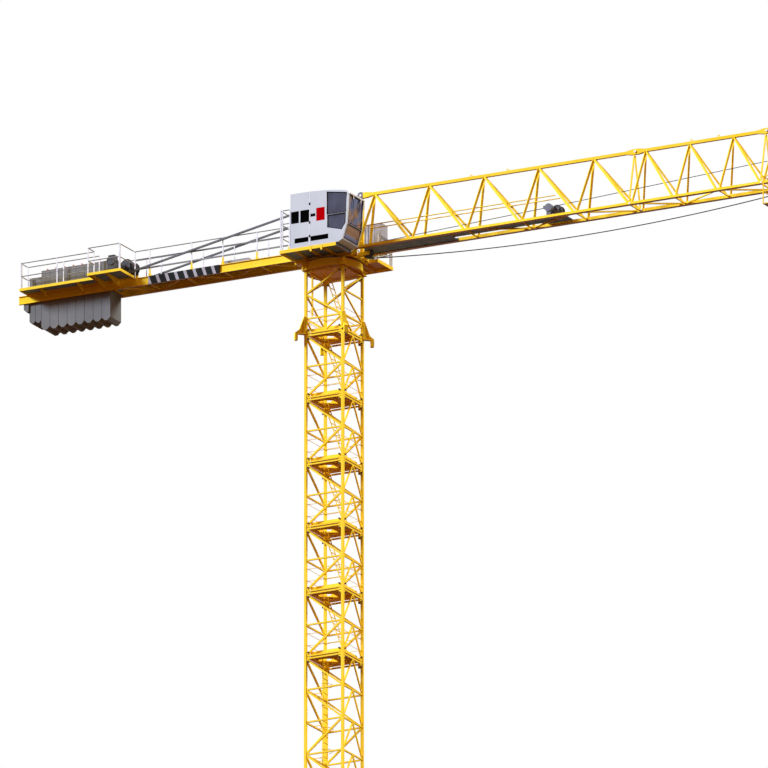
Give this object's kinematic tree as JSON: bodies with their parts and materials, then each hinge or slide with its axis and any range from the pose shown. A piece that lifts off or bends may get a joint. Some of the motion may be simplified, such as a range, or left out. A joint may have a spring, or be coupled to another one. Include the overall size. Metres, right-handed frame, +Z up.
{
  "type": "flat-top tower crane",
  "caption": "Flat-top tower crane: square lattice mast, slewing deck with cab, triangular lattice jib with trolley, and stayed counter-jib with winch and hanging concrete slabs.",
  "frame": {"origin": "mast axis at ground level, in the plane of the undersides of the foot plates", "axes": "+X along the jib, +Z up the mast; the cab is on the -Y side"},
  "size_m": [39.572, 4.08, 30.174],
  "materials": {
    "yellow_paint": "satin structural paint",
    "walkway_steel": "painted checker plate and grating",
    "galvanised_tube": "dull zinc",
    "bare_steel": "greased dark steel",
    "wire_rope": "greased strand",
    "cab_white": "smooth coil-coated sheet",
    "machine_grey": "machine enamel",
    "drum_black": "oiled dark iron",
    "tinted_glass": "tinted safety glass",
    "concrete": "cast concrete"
  },
  "bodies": {
    "mast": {"mast_feet": "yellow_paint", "mast_base_section": "yellow_paint", "mast_section_1": "yellow_paint", "mast_section_2": "yellow_paint", "mast_section_3": "yellow_paint", "mast_section_4": "yellow_paint", "mast_section_5": "yellow_paint", "mast_head_section": "yellow_paint", "climbing_brackets": "yellow_paint", "mast_platforms": "walkway_steel", "platform_toe_boards": "yellow_paint", "mast_ladders": "yellow_paint", "slewing_drum": "yellow_paint"},
    "upperworks": {"slewing_ring": "bare_steel", "slewing_deck": "yellow_paint", "near_platform": "yellow_paint", "far_platform": "yellow_paint", "tower_head": "yellow_paint", "jib_eye": "machine_grey", "cab_shell": "cab_white", "cab_windows": "tinted_glass", "control_cabinet": "cab_white", "switch_cabinet": "machine_grey", "platform_railings": "galvanised_tube", "jib_root_section": "yellow_paint", "jib_middle_section": "yellow_paint", "jib_end_section": "yellow_paint", "jib_walkway": "walkway_steel", "travel_winch": "machine_grey", "rope_pulleys": "bare_steel", "pulley_cheeks": "yellow_paint", "travel_rope": "wire_rope", "hoist_rope_rear": "wire_rope", "hoist_rope_front": "wire_rope", "counter_jib_girders": "yellow_paint", "counter_jib_bracing": "yellow_paint", "counter_jib_walkway": "walkway_steel", "side_walkway": "yellow_paint", "winch_deck": "yellow_paint", "counter_jib_railings": "galvanised_tube", "sign_panel": "machine_grey", "ballast_slabs": "concrete", "slab_ears": "bare_steel", "hoist_winch_frame": "drum_black", "hoist_motor": "drum_black", "stay_rods": "bare_steel"},
    "trolley": {"trolley_frame": "yellow_paint", "trolley_wheels": "bare_steel", "trolley_basket": "yellow_paint", "hook_falls": "wire_rope", "hook_block": "yellow_paint"},
    "hoist_drum": {"hoist_drum": "drum_black"},
    "travel_drum": {"travel_drum": "drum_black"}
  },
  "joints": [
    {"name": "slew", "type": "hinge", "parent": "mast", "child": "upperworks", "pos_m": [0, 0, 27.305], "axis": [0, 0, 1], "continuous": true},
    {"name": "trolley_travel", "type": "slide", "parent": "upperworks", "child": "trolley", "axis": [1, 0, 0], "range_m": [-17.8, 3.7], "deforming": ["hoist_rope_front"]},
    {"name": "hoist_drum_spin", "type": "hinge", "parent": "upperworks", "child": "hoist_drum", "pos_m": [-9.336, 0, 28.64], "axis": [0, 1, 0], "continuous": true},
    {"name": "travel_drum_spin", "type": "hinge", "parent": "upperworks", "child": "travel_drum", "pos_m": [10.08, 0, 28.14], "axis": [0, 1, 0], "continuous": true}
  ],
  "couplings": [
    {"joint": "travel_drum_spin", "follows": "trolley_travel", "rad_per_m": -4.926}
  ]
}
